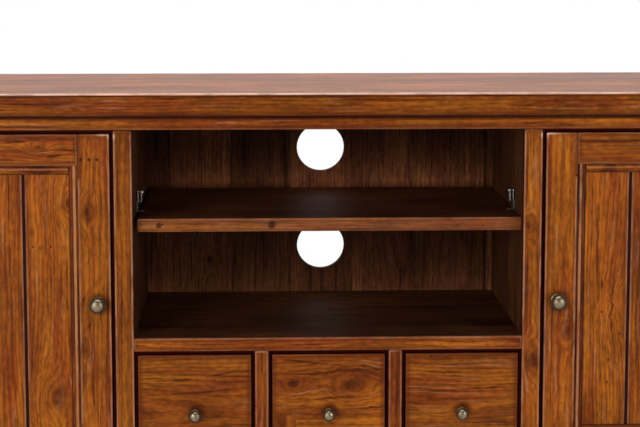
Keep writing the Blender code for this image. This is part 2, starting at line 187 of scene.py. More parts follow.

# Marks in single boards, among them the painted shadows round the knobs: place along the grain, place across
# it, radius or half length, and a split's tilt
MARKS = {
    "door_left_lock_stile": {
        "knots": ((0.546, -0.398, 0.005), (0.319, -0.409, 0.004)),
        "dots": ((0.632, -0.406, 0.003), (0.632, -0.393, 0.0032), (0.632, -0.380, 0.003)),
        "splits": ((0.356, -0.396, 0.010, 0.1), (0.399, -0.404, 0.008, 0.0)),
        "knob_shadows": ((0.391, -0.3795, 0.0135),)},
    "door_right_lock_stile": {"knob_shadows": ((0.391, 0.3835, 0.0135),)},
    "door_right_top_rail": {"tone": 0.88},
    "door_left_top_rail": {
        "knots": ((-0.476, 0.6525, 0.004),),
        "splits": ((-0.515, 0.662, 0.030, 0.05), (-0.450, 0.640, 0.020, 0.10))},
    "door_left_panel2": {
        "knots": ((0.2335, -0.4525, 0.010), (0.560, -0.428, 0.006)),
        "dots": ((0.487, -0.4875, 0.002), (0.485, -0.476, 0.002), (0.487, -0.458, 0.002))},
    "door_right_panel0": {
        "knots": ((0.386, 0.5185, 0.011),),
        "dots": ((0.371, 0.458, 0.0022), (0.289, 0.470, 0.0022), (0.251, 0.469, 0.0022)),
        "splits": ((0.4185, 0.457, 0.012, 0.0),)},
    "post_inner_right": {
        "knots": ((0.520, 0.331, 0.005), (0.291, 0.341, 0.009))},
    "drawer_left_front": {
        "knots": (),
        "tone": 0.68,
        "splits": ((-0.243, 0.262, 0.022, 0.05), (-0.183, 0.271, 0.034, 0.24),
                   (-0.215, 0.241, 0.095, 0.07)),
        "knob_shadows": ((-0.221, 0.207, 0.011),)},
    "drawer_centre_front": {
        "knots": ((0.039, 0.251, 0.0095), (-0.060, 0.253, 0.006)),
        "splits": ((-0.040, 0.291, 0.060, -0.12), (0.010, 0.229, 0.060, 0.06)),
        "knob_shadows": ((0.002, 0.207, 0.011),)},
    "drawer_right_front": {
        "knots": (),
        "tone": 0.78,
        "splits": ((0.190, 0.272, 0.050, -0.04), (0.260, 0.244, 0.060, 0.03)),
        "knob_shadows": ((0.225, 0.207, 0.011),)},
    "centre_shelf_lipping": {
        "knots": (),
        "tone": 0.84,
        "dots": ((-0.281, 0.5185, 0.006), (-0.0935, 0.5185, 0.0085))},
    "top_slab0": {"knots": (), "tone": 0.97},
    "post_inner_left": {"knots": (), "tone": 0.80},
    "drawer_divider_left": {"tone": 0.85},
    "drawer_divider_right": {"tone": 0.85},
    "partition_left": {"tone": 0.82},
    "partition_right": {"tone": 0.93},
    "deck_board_lipping": {"knots": (), "tone": 1.04},
}


# Shader maths

class Shade:
    """A shader socket. Sums, products and powers of it add Math nodes to its tree."""

    def __init__(self, tree, socket=None):
        self.tree = tree
        self.socket = socket

    def node(self, kind, settings, sockets, output=0):
        """A new node of a kind: its settings first, then the values or links of its sockets."""
        made = self.tree.nodes.new(kind)
        for name, value in settings.items():
            if name == "stops":
                ramp = made.color_ramp.elements
                while len(ramp) < len(value):
                    ramp.new(1.0)
                for stop, (place, level) in zip(ramp, value):
                    stop.position = place
                    stop.color = (level, level, level, 1.0)
            else:
                setattr(made, name, value)
        for name, value in sockets.items():
            if isinstance(value, Shade):
                self.tree.links.new(value.socket, made.inputs[name])
            else:
                made.inputs[name].default_value = value
        return Shade(self.tree, made.outputs[output])

    def math(self, operation, *others):
        return self.node("ShaderNodeMath", {"operation": operation}, dict(enumerate((self, *others))))

    def __add__(self, other):
        return self.math("ADD", other)

    def __sub__(self, other):
        return self.math("SUBTRACT", other)

    def __mul__(self, other):
        return self.math("MULTIPLY", other)

    def __truediv__(self, other):
        return self.math("DIVIDE", other)

    def __pow__(self, other):
        return self.math("POWER", other)

    def __rsub__(self, other):
        return self.node("ShaderNodeMath", {"operation": "SUBTRACT"}, {0: other, 1: self})

    __radd__ = __add__
    __rmul__ = __mul__

    def split(self):
        return [self.node("ShaderNodeSeparateXYZ", {}, {0: self}, axis) for axis in "XYZ"]

    def rise(self, low, high):
        """A smooth step from 0 at low to 1 at high."""
        return self.node("ShaderNodeMapRange", {"interpolation_type": "SMOOTHSTEP"},
                         {"Value": self, "From Min": low, "From Max": high})

    def fall(self, low, high):
        """A smooth step from 1 at low to 0 at high."""
        return self.node("ShaderNodeMapRange", {"interpolation_type": "SMOOTHSTEP"},
                         {"Value": self, "From Min": low, "From Max": high, "To Min": 1.0, "To Max": 0.0})

    def grainy(self, factors, detail):
        """Noise that varies so many times a metre along, across and through."""
        scaled = self.node("ShaderNodeVectorMath", {"operation": "MULTIPLY"}, {0: self, 1: factors})
        return self.node("ShaderNodeTexNoise", {}, {"Vector": scaled, "Scale": 1.0, "Detail": detail})

    def blend(self, share, first, second):
        """The first colour mixed towards the second one by a share."""
        return self.node("ShaderNodeMix", {"data_type": "RGBA"}, {0: share, 6: first, 7: second}, 2)

    def tint(self, other, share):
        """This colour mixed towards another one by a share."""
        return self.blend(share, self, other)

    def dim(self, level):
        """This colour scaled by a level."""
        return self.node("ShaderNodeVectorMath", {"operation": "SCALE"}, {0: self, "Scale": level})

    def bump(self, strength, distance):
        """The normal of a surface that has this height."""
        inputs = {"Strength": strength, "Distance": distance, "Height": self}
        return self.node("ShaderNodeBump", {}, inputs, "Normal")


def open_finish(name):
    material = bpy.data.materials.new(name)
    material.use_nodes = True
    return material, material.node_tree.nodes["Principled BSDF"], Shade(material.node_tree)


def connect(shader, **inputs):
    """Link or set the shader's sockets; an underscore stands for a space."""
    for name, value in inputs.items():
        socket = shader.inputs[name.replace("_", " ")]
        if isinstance(value, Shade):
            value.tree.links.new(value.socket, socket)
        else:
            socket.default_value = value


def opaque(colour):
    return (*colour, 1.0)


def attribute(start, word, output="Vector"):
    return start.node("ShaderNodeAttribute", {"attribute_name": word}, {}, output)


def coordinates(start, kind):
    return start.node("ShaderNodeTexCoord", {}, {}, kind)


def light_ray(start, kind):
    return start.node("ShaderNodeLightPath", {}, {}, kind)


# Finishes

def mark_reach(start, word, along, across, squash=1.0):
    """How far off a mark lies in its own radii, and how far it lies across the grain."""
    mark_along, mark_across, radius = attribute(start, word).split()
    off_along = (along - mark_along) * squash
    off_across = across - mark_across
    return (off_along * off_along + off_across * off_across) ** 0.5 / radius, off_across


def shade_knots(start, along, across, wobble):
    """How the grain swirls and bends round the knots, and their cores and halos."""
    swirl = bend = core = halo = 0.0
    for word in MARK_WORDS["knots"]:
        reach, off_across = mark_reach(start, word, along, across, 0.6)
        reach = reach * (wobble * 0.7 + 0.65)
        near = (reach * reach * -0.11).math("EXPONENT")
        swirl = near + swirl
        bend = off_across * near + bend
        core = reach.fall(0.5, 1.05) + core
        halo = reach.fall(0.9, 3.0) + halo
    return swirl, bend, core, halo


def shade_dots(start, along, across, wobble):
    """Small dark holes and plugs."""
    dot = 0.0
    for word in MARK_WORDS["dots"]:
        reach, _ = mark_reach(start, word, along, across)
        dot = (reach * (wobble * 0.8 + 0.6)).fall(0.55, 1.1) + dot
    return dot


def shade_splits(start, along, across, wobble, ripple):
    """Ragged cracks that lie along the grain, or a little askew, and taper to their ends."""
    split = 0.0
    for word, tilt in zip(MARK_WORDS["splits"], attribute(start, "tilts").split()):
        split_along, split_across, half = attribute(start, word).split()
        off_along = along - split_along
        off_across = across - split_across - off_along * tilt + (ripple - 0.5) * 0.009
        width = (off_along / half).math("ABSOLUTE").fall(0.2, 1.0) * (wobble * 0.0042 + 0.0002)
        split = (off_across.math("ABSOLUTE") - width).fall(-0.0016, 0.0003) + split
    return split


def edge_distances(start):
    """Distances to the nearer face along each axis, and the middle one of them: that to the nearest edge."""
    gap = start.node("ShaderNodeVectorMath", {"operation": "MINIMUM"},
                     {0: attribute(start, "from_low"), 1: attribute(start, "to_high")}).split()
    least = gap[X].math("MINIMUM", gap[Y]).math("MINIMUM", gap[Z])
    most = gap[X].math("MAXIMUM", gap[Y]).math("MAXIMUM", gap[Z])
    return gap, gap[X] + gap[Y] + gap[Z] - least - most


def pine(name, gold, red, deep, glaze, gap_shade, rubbed, roughness, shine):
    """Pine that is read along each board's own grain, with knots, splits, pores, wear, dark glazing and
    darker hollows, and painted light: painted shade on faces in gaps, painted shadow under ledges and round
    the knobs, and painted highlights on the arrises, the beads' crowns and pale streaks.
    """
    material, shader, start = open_finish(name)
    gold, red, deep, glaze, gap_shade, rubbed = map(opaque, (gold, red, deep, glaze, gap_shade, rubbed))
    grain = attribute(start, "grain")
    along, across, through = grain.split()
    wobble = grain.grainy((60, 60, 60), 2.0)
    warp = grain.grainy((2.4, 10, 10), 1.0)
    ripple = grain.grainy((9, 42, 42), 1.0)
    swirl, bend, core, halo = shade_knots(start, along, across, wobble)
    dot = shade_dots(start, along, across, wobble)
    split = shade_splits(start, along, across, wobble, ripple)
    # painted shadow: a dark ring round each knob
    smudge = mark_reach(start, "smudge", along, across)[0].fall(0.7, 1.7)

    flowing = across - bend * 0.85 + warp * 0.016 + ripple * 0.0035
    flow = start.node("ShaderNodeCombineXYZ", {}, {0: along, 1: flowing, 2: through})
    ring = (flowing * flowing + through * through) ** 0.5 / RING_WIDTH + warp * 5 + swirl * 3.2
    late = start.node("ShaderNodeValToRGB", {"stops": LATE_WOOD}, {0: ring.math("FRACT")})
    blotch = flow.grainy((3.0, 24, 24), 2.0).rise(0.38, 0.62)
    streaky = flow.grainy((5.5, 75, 75), 2.0).rise(0.38, 0.62)
    vein = flow.grainy((4.5, 120, 120), 2.0).rise(0.57, 0.70)
    fleck = flow.grainy((15, 260, 260), 2.0).rise(0.56, 0.72)
    # painted highlight: pale streaks along the grain, tinted towards the pale edge colour
    pale = flow.grainy((10, 190, 190), 2.0).rise(0.58, 0.74)
    cloud = grain.grainy((6, 9, 9), 1.0).rise(0.30, 0.70)
    mottle = flow.grainy((72, 200, 200), 3.0)
    fibre = flow.grainy((18, 640, 640), 2.0)

    colour = start.blend(blotch * 0.55 + streaky * 0.45, gold, red)
    # the last layer is the painted shadow round the knobs
    layers = ((deep, late * 0.40), (deep, vein * 0.80), (deep, fleck * 0.66), (rubbed, pale * 0.30),
              (deep, halo * 0.42), (deep, core * 0.55), (glaze, core * 0.22), (deep, smudge * 0.85))
    for tone, share in layers:
        colour = colour.tint(tone, share)
    colour = colour.dim((fibre * 0.45 + 0.775) * (cloud * 0.40 + 0.80) * (mottle * 1.50 + 0.25)
                        * attribute(start, "tone", "Fac"))

    rub = attribute(start, "rub", "Fac")
    shut, under, wear = attribute(start, "dirt").split()
    gap, edge = edge_distances(start)
    # wear, which also paints the highlights on the arrises: pale, and bare pink where it is strongest
    patchy = grain.grainy((26, 60, 60), 3.0).rise(0.34, 0.60)
    arris = edge.fall(0.0015, 0.0042)
    handled = arris * (patchy * 0.65 + 0.35) * wear
    worn_and_lit = handled.math("MAXIMUM", rub.rise(0.0, 1.0) * (patchy * 0.6 + 0.4))
    bare = arris * (patchy * 0.35 + 0.65) * (wear - 1.0).math("MAXIMUM", 0.0)
    colour = colour.tint(deep, edge.fall(0.0030, 0.0110) * (0.62 - wear * 0.30))
    colour = colour.tint(rubbed, worn_and_lit * 0.66).tint(BARE_PINE_AND_HIGHLIGHT, bare)

    # painted shade: faces that lie in a gap (shut) take the gap's dark colour
    seam = gap[Y].rise(0.0007, 0.0024) * shut
    # painted shadow: a dark band along the top of a board under a ledge (under = 1), and a dark line just
    # under the slab's front arris (under = -1)
    below_top = attribute(start, "to_high").split()[Z]
    painted_nosing_shadow = below_top.rise(0.0032, 0.0044) * below_top.fall(0.0050, 0.0076) * under * -0.85
    painted_under_shadow = (below_top.fall(0.0055, 0.0110) * under).math("MAXIMUM", painted_nosing_shadow)
    scattered = start.node("ShaderNodeVectorMath", {"operation": "MULTIPLY"}, {0: grain, 1: (34, 46, 46)})
    cell = {"Vector": scattered, "Scale": 1.0}
    chosen = start.node("ShaderNodeTexVoronoi", {}, cell, "Color").split()[0].rise(0.80, 0.82)
    pits = start.node("ShaderNodeTexVoronoi", {}, cell).fall(0.035, 0.075) * chosen
    hollow = (rub * -1.0).rise(0.0, 1.0)
    holes = pits.math("MAXIMUM", dot * 0.80).math("MAXIMUM", split * 0.66)
    dark = holes.math("MAXIMUM", hollow * 0.98)
    colour = colour.tint(glaze, dark.math("MAXIMUM", painted_under_shadow * 0.85)).tint(gap_shade, seam * 0.97)

    height = (fibre * 0.5 - late * 0.6 - vein * 0.5 - fleck * 0.35 + pale * 0.4 - holes * 3.0 - core * 0.4
              + warp * 1.6 + cloud * 0.8)
    rough = fibre * 0.16 - late * 0.05 + fleck * 0.08 + worn_and_lit * 0.10 + (dark + seam) * 0.2 + roughness
    connect(shader, Base_Color=colour, Roughness=rough, Normal=height.bump(0.6, 0.0005),
            Specular_IOR_Level=shine)
    return material


def cast_metal(name, bright, dull, roughness, scratch):
    """Metal with tarnish in its hollows and a fine turned or brushed finish."""
    material, shader, start = open_finish(name)
    bright, dull = opaque(bright), opaque(dull)
    place = coordinates(start, "Object")
    tarnish = place.grainy((180, 180, 180), 4.0).rise(0.38, 0.70)
    fine = place.grainy((scratch, 900, scratch), 2.0)
    hollow = (attribute(start, "rub", "Fac") * -1.0).rise(0.0, 1.0)
    colour = start.blend(tarnish * 0.45, bright, dull).tint(dull, hollow * 0.9).dim(fine * 0.3 + 0.85)
    rough = tarnish * 0.14 + hollow * 0.2 + fine * 0.08 + roughness
    height = fine + tarnish * 0.8
    connect(shader, Base_Color=colour, Roughness=rough, Normal=height.bump(0.3, 0.0002), Metallic=1.0)
    return material


FINISHES = {
    "stained_pine": pine(
        "stained_pine_lacquer", gold=(0.370, 0.108, 0.0090), red=(0.225, 0.043, 0.0065),
        deep=(0.078, 0.0130, 0.0024), glaze=(0.026, 0.0022, 0.0010), gap_shade=(0.030, 0.0012, 0.0006),
        rubbed=(0.46, 0.215, 0.115), roughness=0.26, shine=0.067),
    "dark_pine": pine(
        "dark_pine_stain", gold=(0.120, 0.0430, 0.0145), red=(0.080, 0.0235, 0.0105),
        deep=(0.024, 0.0080, 0.0048), glaze=(0.007, 0.0024, 0.0015), gap_shade=(0.028, 0.0010, 0.0005),
        rubbed=(0.110, 0.044, 0.019), roughness=0.52, shine=0.03),
    "raw_pine": pine(
        "plain_pine", gold=(0.56, 0.34, 0.155), red=(0.46, 0.245, 0.095),
        deep=(0.30, 0.125, 0.042), glaze=(0.10, 0.035, 0.012), gap_shade=(0.30, 0.125, 0.042),
        rubbed=(0.60, 0.40, 0.21), roughness=0.48, shine=0.20),
    "aged_brass": cast_metal(
        "aged_brass_wax", bright=(0.33, 0.255, 0.165), dull=(0.040, 0.026, 0.013),
        roughness=0.30, scratch=420),
    "plated_steel": cast_metal(
        "zinc_plate", bright=(0.82, 0.82, 0.80), dull=(0.20, 0.195, 0.185),
        roughness=0.22, scratch=160),
}


# Modelling

def fresh_mesh():
    """An empty bmesh with what the finishes read from a piece."""
    bm = bmesh.new()
    words = [word for group in MARK_WORDS.values() for word in group]
    for word in ("grain", "from_low", "to_high", "tilts", "dirt", *words):
        bm.verts.layers.float_vector.new(word)
    for word in ("tone", "rub"):
        bm.verts.layers.float.new(word)
    bm.verts.layers.int.new("done")
    return bm


def open_verts(bm):
    """The vertices that no finished part of the mesh owns yet."""
    done = bm.verts.layers.int["done"]
    return [vert for vert in bm.verts if not vert[done]]


def open_edges(bm):
    done = bm.verts.layers.int["done"]
    return [edge for edge in bm.edges if not edge.verts[0][done]]


def close_part(bm):
    done = bm.verts.layers.int["done"]
    for vert in bm.verts:
        vert[done] = 1


def set_rub(bm, verts, level):
    """Make vertices paler or, with a level under 0, darker."""
    rub = bm.verts.layers.float["rub"]
    for vert in verts:
        vert[rub] = level


def place_piece(name, bm, slot, body, nodes=(), crease=None):
    """Finish a mesh as a piece that rides on a body and stands for some solids."""
    bm.verts.layers.int.remove(bm.verts.layers.int["done"])
    bmesh.ops.recalc_face_normals(bm, faces=bm.faces)
    mesh = bpy.data.meshes.new(name)
    bm.to_mesh(mesh)
    bm.free()
    mesh.materials.append(FINISHES[slot])
    if crease:
        mesh.shade_smooth()
        mesh.set_sharp_from_angle(angle=math.radians(crease))
    piece = bpy.data.objects.new(name, mesh)
    scene.collection.objects.link(piece)
    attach(piece, body)
    if nodes:
        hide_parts(*nodes)


def mark_grain(bm, verts, low, high, along, seed, edge_box=None, shut=(0, 0), under=0, wear=1.0, heart=None,
               lift=1.0):
    """Give the vertices of one board its grain, marks, tone, painted shade in gaps and under ledges, wear
    with painted highlights, and the distances to its edges.
    """
    chance = random.Random(seed)
    others = [axis for axis in (X, Y, Z) if axis != along]
    across, through = sorted(others, key=lambda axis: low[axis] - high[axis])
    cross = Z if along == X else X
    middle = (low + high) / 2
    shift = chance.uniform(*GRAIN_SHIFTS)
    side, depth = heart or (chance.uniform(*HEARTS_ASIDE) * chance.choice((-1, 1)),
                            chance.uniform(*HEART_DEPTHS))
    tone = chance.uniform(*BOARD_TONES)
    guessed = [(chance.uniform(low[along], high[along]), chance.uniform(low[across], high[across]),
                chance.uniform(*KNOT_SIZES)) for _ in range(2)]
    shown = chance.random()
    marks = {"knots": guessed[:(shown < ONE_KNOT) + (shown < TWO_KNOTS)], **MARKS.get(seed, {})}
    vectors, floats = bm.verts.layers.float_vector, bm.verts.layers.float
    tilts = [place[3] for place in marks.get("splits", ())]
    same = {"tilts": Vector((tilts + [0.0] * 3)[:3])}
    for group, words in MARK_WORDS.items():
        places = [Vector((at + shift, over - middle[across] - side, size))
                  for at, over, size, *_ in marks.get(group, ())]
        same.update(zip(words, places + [FAR_MARK] * 3))
    edge_low, edge_high = edge_box or (low, high)
    for vert in verts:
        vert[vectors["grain"]] = (vert.co[along] + shift, vert.co[across] - middle[across] - side,
                                  vert.co[through] - middle[through] - depth)
        vert[vectors["from_low"]] = vert.co - edge_low
        vert[vectors["to_high"]] = edge_high - vert.co
        rubbed = wear(vert.co) if callable(wear) else wear
        # shut paints shade on faces in a gap, under paints shadow under a ledge, and wear also paints the
        # highlights on the arrises
        vert[vectors["dirt"]] = (shut[vert.co[cross] > middle[cross]], under, rubbed)
        for word, value in same.items():
            vert[vectors[word]] = value
        vert[floats["tone"]] = marks.get("tone", tone) * (lift(vert.co) if callable(lift) else lift)


def wear_edges(verts, low, high, along, ease, seed):
    """Widen and narrow the easing along each edge, as handling does."""
    shift = random.Random(seed + "_wear").uniform(0, 50)
    for vert in verts:
        near = [(axis, face) for axis in (X, Y, Z) for face in (low[axis], high[axis])
                if abs(vert.co[axis] - face) < EDGE_REACH * ease]
        if len(near) < 2:
            continue
        tag = sum(face * (3 + axis) for axis, face in near if axis != along)
        drift = noise.noise(Vector((vert.co[along] * DRIFT_PITCH + shift, tag * 40, shift * 0.37)))
        nick = noise.noise(Vector((vert.co[along] * NICK_PITCH + shift, tag * 70, 4.2)))
        grow = 1.0 + max(-MOST_NARROWED, DRIFT_SWING * drift) + max(0.0, NICK_SWING * nick - NICK_START)
        for axis, face in near:
            vert.co[axis] = face + (vert.co[axis] - face) * grow


def cut_lengths(bm, along, span, step):
    """Cut the long edges of the open part into steps."""
    lengths = [edge for edge in open_edges(bm)
               if abs(edge.verts[0].co[along] - edge.verts[1].co[along]) > LONG_SHARE * span]
    bmesh.ops.subdivide_edges(bm, edges=lengths, cuts=max(2, round(span / step)), use_grid_fill=True)


def add_block(bm, low, high):
    cube = bmesh.ops.create_cube(bm, size=1.0)["verts"]
    bmesh.ops.scale(bm, vec=high - low, verts=cube)
    bmesh.ops.translate(bm, vec=(low + high) / 2, verts=cube)


def ease_edges(bm, edges, width, segments):
    bmesh.ops.bevel(bm, geom=edges, offset=width, segments=segments, profile=0.5, affect="EDGES",
                    material=-1)


def is_edge_of(box, edge):
    """Whether an edge runs along one of a box's own edges."""
    first, second = (vert.co for vert in edge.verts)
    fixed = [axis for axis in (X, Y, Z) if abs(first[axis] - second[axis]) < TOUCH]
    return all(min(abs(first[axis] - corner[axis]) for corner in box) < TOUCH for axis in fixed)


def add_board(bm, low, high, along, seed, ease=0.0012, outer=None, turn=0.003, step=0.03, **grain):
    """Add one board to bm, with eased edges and a rounder turn on the edges of an outer box."""
    low, high = Vector(low), Vector(high)
    add_block(bm, low, high)
    edges = open_edges(bm)
    if outer:
        turned = [edge for edge in edges if is_edge_of(outer, edge)]
        plain = [edge for edge in edges if not is_edge_of(outer, edge)]
        ease_edges(bm, turned, turn, 4)
        edges = [edge for edge in plain if edge.is_valid]
        grain.setdefault("edge_box", outer)
    if edges:
        ease_edges(bm, edges, ease, 2)
    cut_lengths(bm, along, high[along] - low[along], step)
    verts = open_verts(bm)
    wear_edges(verts, low, high, along, turn if outer else ease, seed)
    mark_grain(bm, verts, low, high, along, seed, **grain)
    close_part(bm)
    return verts


def dress_board(node, along, slot="stained_pine", body="carcass", ease=0.0012, **grain):
    """A board with edge wear and painted edge highlights in the place of one plain solid."""
    bm = fresh_mesh()
    add_board(bm, *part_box(node), along, node, ease, **grain)
    place_piece("pine_" + node, bm, slot, body, [node])


def dress_planks(node, along, across, shares, slot, body, turn, ease=0.0005, **grain):
    """Planks side by side, joined into one wide board."""
    bm = fresh_mesh()
    low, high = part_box(node)
    start = low[across]
    for count, share in enumerate(shares):
        plank_low, plank_high = low.copy(), high.copy()
        plank_low[across] = start
        start += (high[across] - low[across]) * share / sum(shares)
        plank_high[across] = start
        add_board(bm, plank_low, plank_high, along, node + str(count), ease, (low, high), turn, **grain)
    place_piece("pine_" + node, bm, slot, body, [node])


def add_prism(bm, outline, plane, along, start, end):
    """Extrude an outline of points in a plane, each with its rub, along the third axis."""
    rub = bm.verts.layers.float["rub"]
    corners = []
    for first, second, level in outline:
        place = Vector()
        place[plane[0]], place[plane[1]], place[along] = first, second, start
        corner = bm.verts.new(place)
        corner[rub] = level
        corners.append(corner)
    face = bm.faces.new(corners)
    grown = bmesh.ops.extrude_face_region(bm, geom=[face])["geom"]
    moved = [item for item in grown if isinstance(item, bmesh.types.BMVert)]
    push = Vector()
    push[along] = end - start
    bmesh.ops.translate(bm, vec=push, verts=moved)


def turn_profile(bm, profile, base, axis, steps=40):
    """Spin a profile of (radius, distance along the axis, rub) into a solid."""
    axis = Vector(axis)
    side = axis.orthogonal().normalized()
    rub = bm.verts.layers.float["rub"]
    points = []
    for radius, reach, level in profile:
        point = bm.verts.new(Vector(base) + side * radius + axis * reach)
        point[rub] = level
        points.append(point)
    edges = [bm.edges.new(pair) for pair in zip(points, points[1:])]
    bmesh.ops.spin(bm, geom=points + edges, cent=base, axis=axis, dvec=(0, 0, 0), angle=2 * math.pi,
                   steps=steps, use_merge=True, use_duplicate=False)
    bmesh.ops.remove_doubles(bm, verts=open_verts(bm), dist=MERGE)
    close_part(bm)


def add_screw(bm, base, axis, radius):
    """A screw head with a countersunk rim and a dark driver recess."""
    profile = [(0.0, -0.0004, -1.0), (radius, -0.0004, -0.6), (radius, 0.0000, -0.2),
               (0.85 * radius, 0.0002, 0.0), (0.38 * radius, 0.0003, 0.0), (0.34 * radius, -0.0001, -1.0),
               (0.0, -0.0002, -1.0)]
    turn_profile(bm, profile, base, axis, 16)


# Camera, at the photograph's viewing angle

LENS = 99.15
SENSOR = 36.0
LENS_SHIFT = -0.10
CAMERA_PLACE = (-0.1136, -3.0656, 0.9866)
CAMERA_TILT = 6.725
CAMERA_TURN = -1.976


def make_camera():
    data = bpy.data.cameras.new("camera")
    data.lens = LENS
    data.sensor_width = SENSOR
    data.shift_y = LENS_SHIFT
    camera = bpy.data.objects.new("camera", data)
    camera.location = CAMERA_PLACE
    camera.rotation_euler = (math.radians(90 - CAMERA_TILT), 0.0, math.radians(CAMERA_TURN))
    scene.collection.objects.link(camera)
    scene.camera = camera


# Studio

WHITE = (1.0, 1.0, 1.0, 1.0)
BLACK = (0.0, 0.0, 0.0, 1.0)
FLOOR_GREY = (0.83, 0.83, 0.82, 1.0)
FLOOR_REACH = 9.0
FLOOR_FADE = (1.2, 2.4)
ROOM_LEVEL = 0.14


def soft_box(name, place, aim, size, power):
    data = bpy.data.lights.new(name, "AREA")
    data.shape = "RECTANGLE"
    data.size, data.size_y = size
    data.energy = power
    lamp = bpy.data.objects.new(name, data)
    lamp.location = place
    lamp.rotation_euler = (Vector(aim) - Vector(place)).to_track_quat("-Z", "Y").to_euler()
    scene.collection.objects.link(lamp)


def make_surround():
    """A white background, which metal mirrors only where it lies behind the console."""
    world = bpy.data.worlds.new("white_surround")
    world.use_nodes = True
    scene.world = world
    start = Shade(world.node_tree)
    seen = light_ray(start, "Is Camera Ray")
    mirrored = light_ray(start, "Is Glossy Ray").math("MAXIMUM", light_ray(start, "Is Transmission Ray"))
    behind = coordinates(start, "Generated").split()[Y]
    shown = behind.rise(-0.25, 0.35) * 0.88 + 0.06
    level = seen + (1 - seen) * (mirrored * shown + (1 - mirrored) * ROOM_LEVEL)
    connect(world.node_tree.nodes["Background"], Color=WHITE, Strength=level)


def make_floor():
    """A pale floor that keeps the console's shadow and turns plain white further out."""
    bm = bmesh.new()
    bmesh.ops.create_grid(bm, x_segments=8, y_segments=8, size=FLOOR_REACH)
    mesh = bpy.data.meshes.new("pale_floor")
    bm.to_mesh(mesh)
    bm.free()
    material, shader, start = open_finish("pale_floor")
    place = coordinates(start, "Object")
    speckle = place.grainy((40, 40, 40), 2.0)
    reach = start.node("ShaderNodeVectorMath", {"operation": "LENGTH"}, {0: place}, "Value")
    viewed = light_ray(start, "Is Camera Ray").math("MAXIMUM", light_ray(start, "Is Glossy Ray"))
    plain = reach.rise(*FLOOR_FADE) * viewed
    colour = start.blend(plain, FLOOR_GREY, BLACK)
    glow = start.blend(plain, BLACK, WHITE)
    connect(shader, Base_Color=colour, Emission_Color=glow, Emission_Strength=1.0,
            Roughness=speckle * 0.1 + 0.6, Specular_IOR_Level=0.0)
    mesh.materials.append(material)
    floor = bpy.data.objects.new("pale_floor", mesh)
    scene.collection.objects.link(floor)


def make_studio():
    front, top = (0.0, -0.2, 0.5), (0.0, -0.1, 0.6)
    soft_box("left_soft_box", place=(-2.0, -3.0, 1.20), aim=front, size=(1.3, 1.5), power=57)
    soft_box("right_soft_box", place=(2.3, -2.7, 1.10), aim=front, size=(1.0, 1.3), power=37)
    soft_box("overhead_soft_box", place=(0.0, -0.4, 2.9), aim=top, size=(2.4, 1.2), power=54)
    make_surround()
    make_floor()


# Carcass

def post_wear(node, door_side):
    """Wear and painted highlight on a post's edges: least at the rail, and a bare chip just under it on the
    door's side.
    """
    low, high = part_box(node)
    middle = (low.x + high.x) / 2

    def rubbed(place):
        drop = high.z - place.z
        if drop < POST_JOINT_REACH:
            return JOINT_WEAR
        chipped = drop < CHIP_REACH and (place.x - middle) * door_side > 0
        return CHIP_WEAR if chipped else POST_WEAR

    return rubbed


def make_slab():
    low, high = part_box("top_slab")

    def handled(place):
        """Wear on the slab's upper edges, most of it along the front, where it also paints the arris's
        highlight.
        """
        if place.z < (low.z + high.z) / 2:
            return 0.0
        return SLAB_FRONT_WEAR_AND_HIGHLIGHT if place.y < low.y + SLAB_FRONT_REACH else SLAB_WEAR

    def shaded(place):
        return SLAB_FACE_TONE if place.y < low.y + SLAB_FACE_DEPTH else 1.0

    # under=-1 paints a shadow line just under the slab's front arris
    dress_planks("top_slab", X, Y, SLAB_PLANKS, "stained_pine", "carcass", turn=0.0022, under=-1,
                 wear=handled, lift=shaded)


def make_carcass():
    make_slab()
    # under=1 paints the slab's shadow along the rail's top
    dress_board("top_rail", X, shut=(1, 1), under=1, wear=0.25)
    for word, side in SIDES:
        inside = (0, 1) if side < 0 else (1, 0)
        for name, shut, door_side in (("post_outer_", inside, -side), ("post_inner_", (1, 1), side)):
            dress_board(name + word, Z, ease=0.0014, shut=shut, step=0.008,
                        wear=post_wear(name + word, door_side))
        dress_planks("side_" + word, Z, Y, SIDE_PLANKS, "stained_pine", "carcass", turn=0.0015, ease=0.0007)
        dress_board("partition_" + word, Z, "dark_pine", ease=0.0006)
        dress_board("drawer_divider_" + word, Z, ease=0.0013, shut=(1, 1), wear=0.7)
    dress_board("bottom_board", X, shut=(0, 1), wear=0.5)
    # under=1 paints shade along the plinth's top, under the bottom board
    dress_board("plinth_front", X, under=1)
    dress_board("plinth_back", X, "dark_pine")


def make_lipped_board(node, front_lift, back_lift, paleness):
    """A dark board with a thin lipping of the front's pine, more or less pale, along its front edge; the
    board's tone runs from front to back as painted light and shade.
    """
    low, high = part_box(node)
    seam = low.y + LIPPING

    def handled(place):
        return LIPPING_TOP_WEAR if place.z > (low.z + high.z) / 2 else LIPPING_WEAR

    def faded(place):
        return front_lift + (back_lift - front_lift) * (place.y - seam) / (high.y - seam)

    bm = fresh_mesh()
    lipping = add_board(
        bm, low, (high.x, seam - LIPPING_SEAM, high.z), X, node + "_lipping", ease=0.0010, shut=(1, 1),
        edge_box=(low, high), wear=handled)
    set_rub(bm, lipping, paleness)
    place_piece("lipping_" + node, bm, "stained_pine", "carcass", [node])
    bm = fresh_mesh()
    add_board(bm, (low.x, seam, low.z), high, X, node, ease=0.0003, lift=faded)
    place_piece("pine_" + node, bm, "dark_pine", "carcass", [node])


